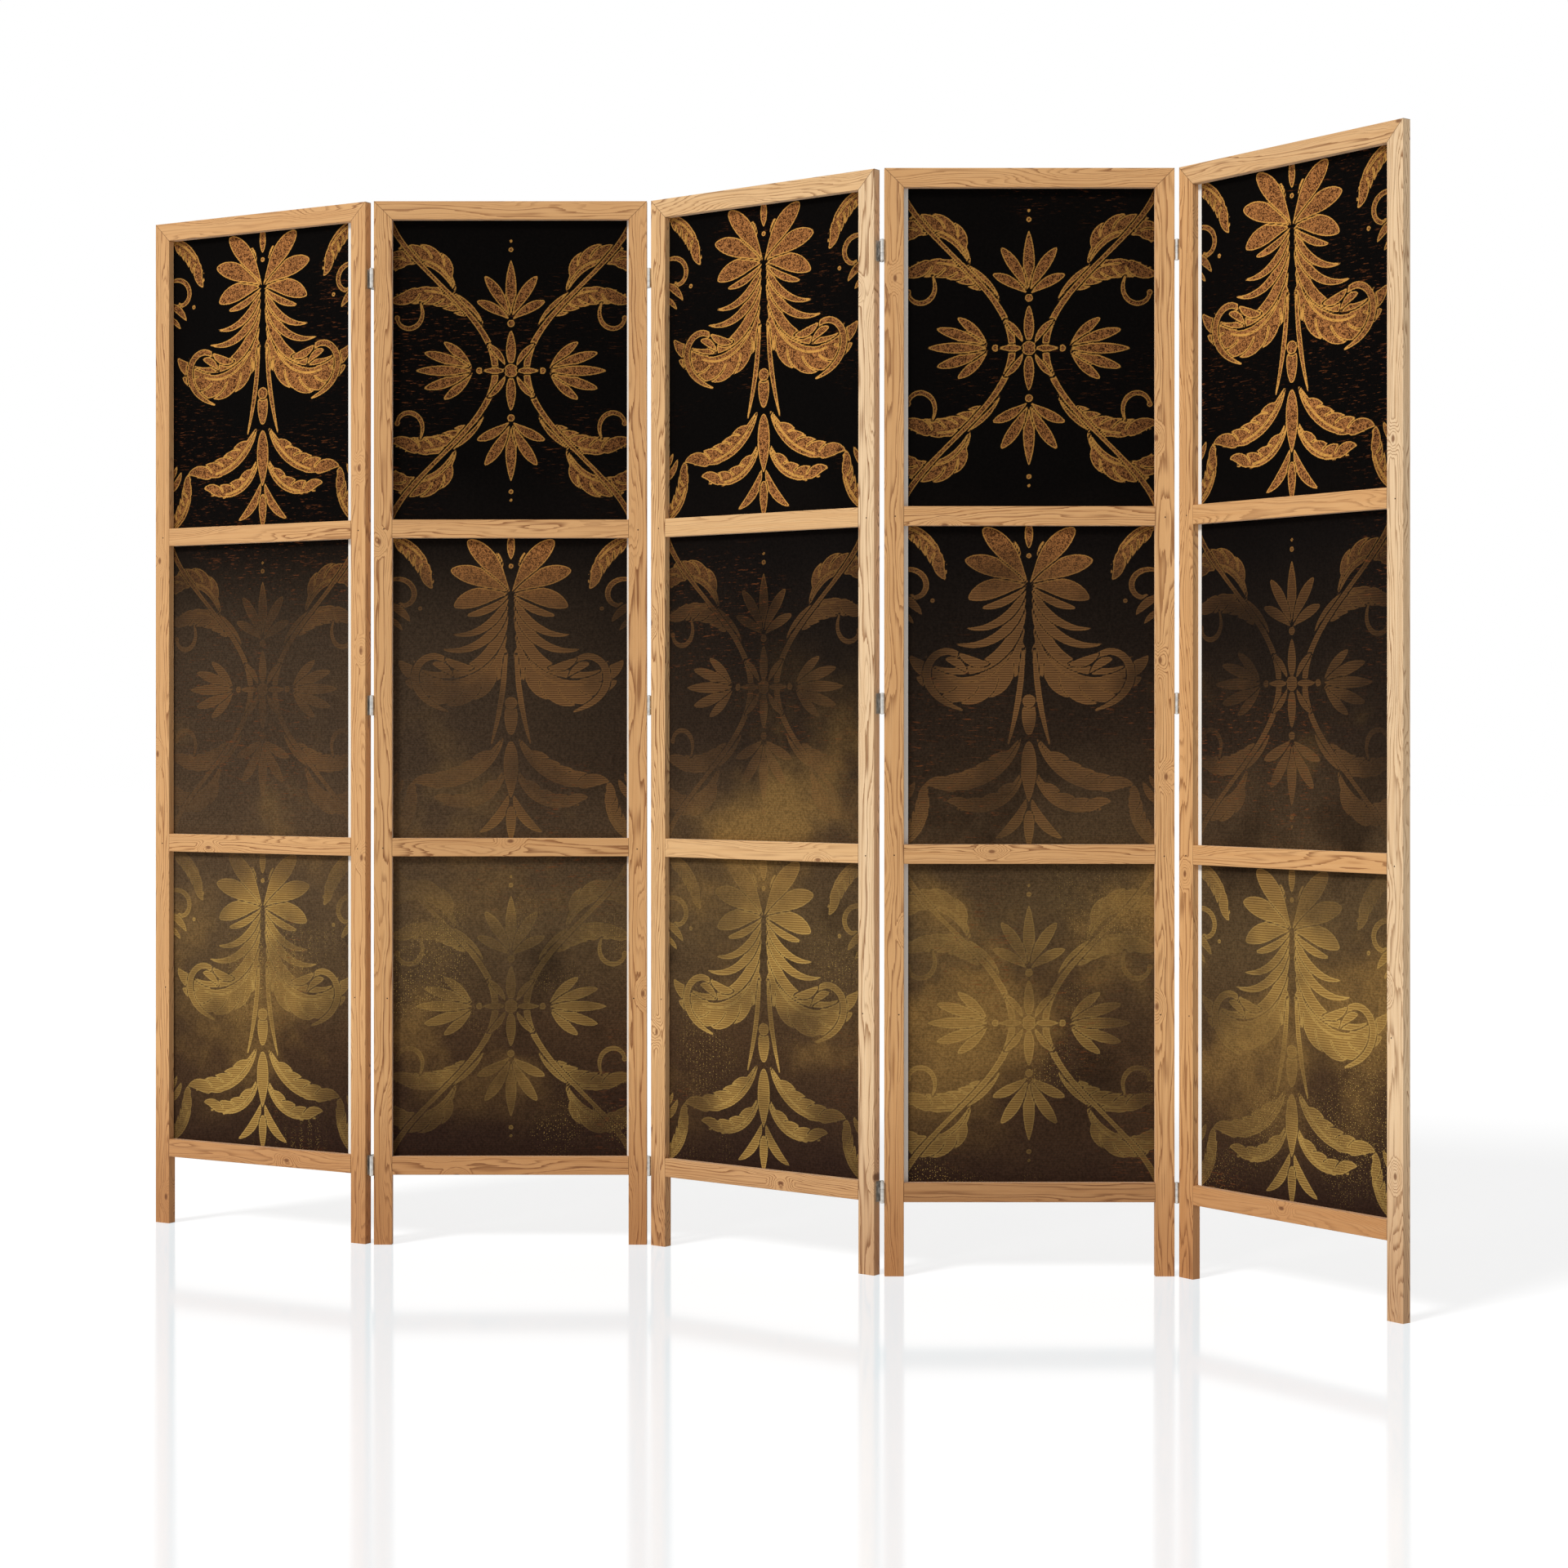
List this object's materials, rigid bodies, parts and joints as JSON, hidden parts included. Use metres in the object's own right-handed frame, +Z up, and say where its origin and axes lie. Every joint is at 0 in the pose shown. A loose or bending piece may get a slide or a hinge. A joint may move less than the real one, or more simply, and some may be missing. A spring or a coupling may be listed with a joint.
{
  "type": "folding screen",
  "caption": "Zigzag folding room screen: pine frames with a mitred top, a printed sheet behind cross rails, and double-action hinges between the frames.",
  "frame": {"origin": "on the floor under the middle of the row's footprint, as the screen stands", "axes": "+X along the row to the viewer's right, +Y away from the viewer, +Z up"},
  "size_m": [2.156, 0.2876, 1.72],
  "materials": {
    "pine": "planed, unlacquered",
    "bead_timber": "planed",
    "printed_sheet": "matt printed non-woven cloth",
    "hinge_steel": "nickel-plated",
    "pin_steel": "bright"
  },
  "bodies": {
    "panel_1": {"panel_1_stile_left": "pine", "panel_1_stile_right": "pine", "panel_1_rail_top": "pine", "panel_1_rail_upper": "pine", "panel_1_rail_lower": "pine", "panel_1_rail_bottom": "pine", "panel_1_sheet": "printed_sheet", "panel_1_beads": "bead_timber", "hinge_12_leaves_left": "hinge_steel"},
    "panel_2": {"panel_2_stile_left": "pine", "panel_2_stile_right": "pine", "panel_2_rail_top": "pine", "panel_2_rail_upper": "pine", "panel_2_rail_lower": "pine", "panel_2_rail_bottom": "pine", "panel_2_sheet": "printed_sheet", "panel_2_beads": "bead_timber", "hinge_12_leaves_right": "hinge_steel", "hinge_23_leaves_left": "hinge_steel"},
    "panel_3": {"panel_3_stile_left": "pine", "panel_3_stile_right": "pine", "panel_3_rail_top": "pine", "panel_3_rail_upper": "pine", "panel_3_rail_lower": "pine", "panel_3_rail_bottom": "pine", "panel_3_sheet": "printed_sheet", "panel_3_beads": "bead_timber", "hinge_23_leaves_right": "hinge_steel", "hinge_34_leaves_left": "hinge_steel"},
    "panel_4": {"panel_4_stile_left": "pine", "panel_4_stile_right": "pine", "panel_4_rail_top": "pine", "panel_4_rail_upper": "pine", "panel_4_rail_lower": "pine", "panel_4_rail_bottom": "pine", "panel_4_sheet": "printed_sheet", "panel_4_beads": "bead_timber", "hinge_34_leaves_right": "hinge_steel", "hinge_45_leaves_left": "hinge_steel"},
    "panel_5": {"panel_5_stile_left": "pine", "panel_5_stile_right": "pine", "panel_5_rail_top": "pine", "panel_5_rail_upper": "pine", "panel_5_rail_lower": "pine", "panel_5_rail_bottom": "pine", "panel_5_sheet": "printed_sheet", "panel_5_beads": "bead_timber", "hinge_45_leaves_right": "hinge_steel"},
    "link_12": {"hinge_12_links": "hinge_steel", "hinge_12_pins": "pin_steel"},
    "link_23": {"hinge_23_links": "hinge_steel", "hinge_23_pins": "pin_steel"},
    "link_34": {"hinge_34_links": "hinge_steel", "hinge_34_pins": "pin_steel"},
    "link_45": {"hinge_45_links": "hinge_steel", "hinge_45_pins": "pin_steel"}
  },
  "joints": [
    {"name": "reverse_fold_12", "type": "hinge", "parent": "panel_2", "child": "link_12", "pos_m": [-0.61781, -0.14038, 0], "axis": [0, 0, -1], "range_deg": [-180, 0]},
    {"name": "fold_12", "type": "hinge", "parent": "link_12", "child": "panel_1", "pos_m": [-0.62491, -0.12427, 0], "axis": [0, 0, -1], "range_deg": [-29, 151]},
    {"name": "reverse_fold_23", "type": "hinge", "parent": "panel_3", "child": "link_23", "pos_m": [-0.19574, 0.06112, 0], "axis": [0, 0, 1], "range_deg": [-180, 0]},
    {"name": "fold_23", "type": "hinge", "parent": "link_23", "child": "panel_2", "pos_m": [-0.19976, 0.04398, 0], "axis": [0, 0, 1], "range_deg": [-37, 143]},
    {"name": "fold_34", "type": "hinge", "parent": "panel_3", "child": "link_34", "pos_m": [0.24909, -0.04324, 0], "axis": [0, 0, 1], "range_deg": [-37, 143]},
    {"name": "reverse_fold_34", "type": "hinge", "parent": "link_34", "child": "panel_4", "pos_m": [0.25619, -0.05934, 0], "axis": [0, 0, 1], "range_deg": [-170, 0]},
    {"name": "fold_45", "type": "hinge", "parent": "panel_4", "child": "link_45", "pos_m": [0.67424, 0.12501, 0], "axis": [0, 0, -1], "range_deg": [-53, 127]},
    {"name": "reverse_fold_45", "type": "hinge", "parent": "link_45", "child": "panel_5", "pos_m": [0.68283, 0.14038, 0], "axis": [0, 0, -1], "range_deg": [-180, 0]}
  ]
}
